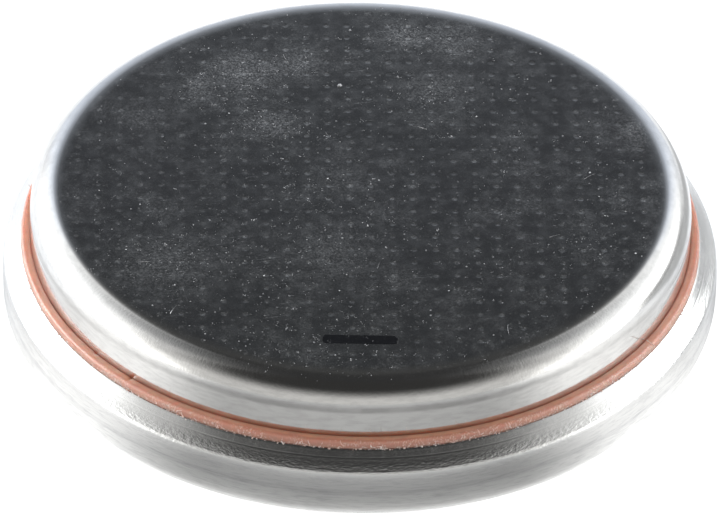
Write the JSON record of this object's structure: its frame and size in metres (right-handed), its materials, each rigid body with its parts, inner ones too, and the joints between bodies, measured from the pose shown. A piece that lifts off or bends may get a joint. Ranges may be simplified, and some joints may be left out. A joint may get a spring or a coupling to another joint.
{
  "type": "lithium coin cell",
  "caption": "Round lithium coin cell: steel can crimped over a gasket and a stepped steel cap, with cathode, separator and lithium disc inside.",
  "frame": {"origin": "middle of the can's flat underside", "axes": "+Z along the cell's axis, from the positive can to the negative cap's face"},
  "size_m": [0.0244, 0.0244, 0.005],
  "materials": {
    "can_steel": "bright drawn steel, burnished at the crimp",
    "cap_steel": "bright drawn steel with a dimpled, finely scratched face",
    "gasket_plastic": "satin moulded plastic, salmon red",
    "ring_steel": "plain steel",
    "cathode_mix": "pressed black powder",
    "separator_fibre": "white non-woven fibre",
    "lithium_metal": "dull silvery metal"
  },
  "bodies": {
    "root": {"positive_can": "can_steel", "negative_cap": "cap_steel", "gasket": "gasket_plastic", "cathode_ring": "ring_steel", "cathode_pellet": "cathode_mix", "separator": "separator_fibre", "lithium_anode": "lithium_metal"}
  },
  "joints": []
}
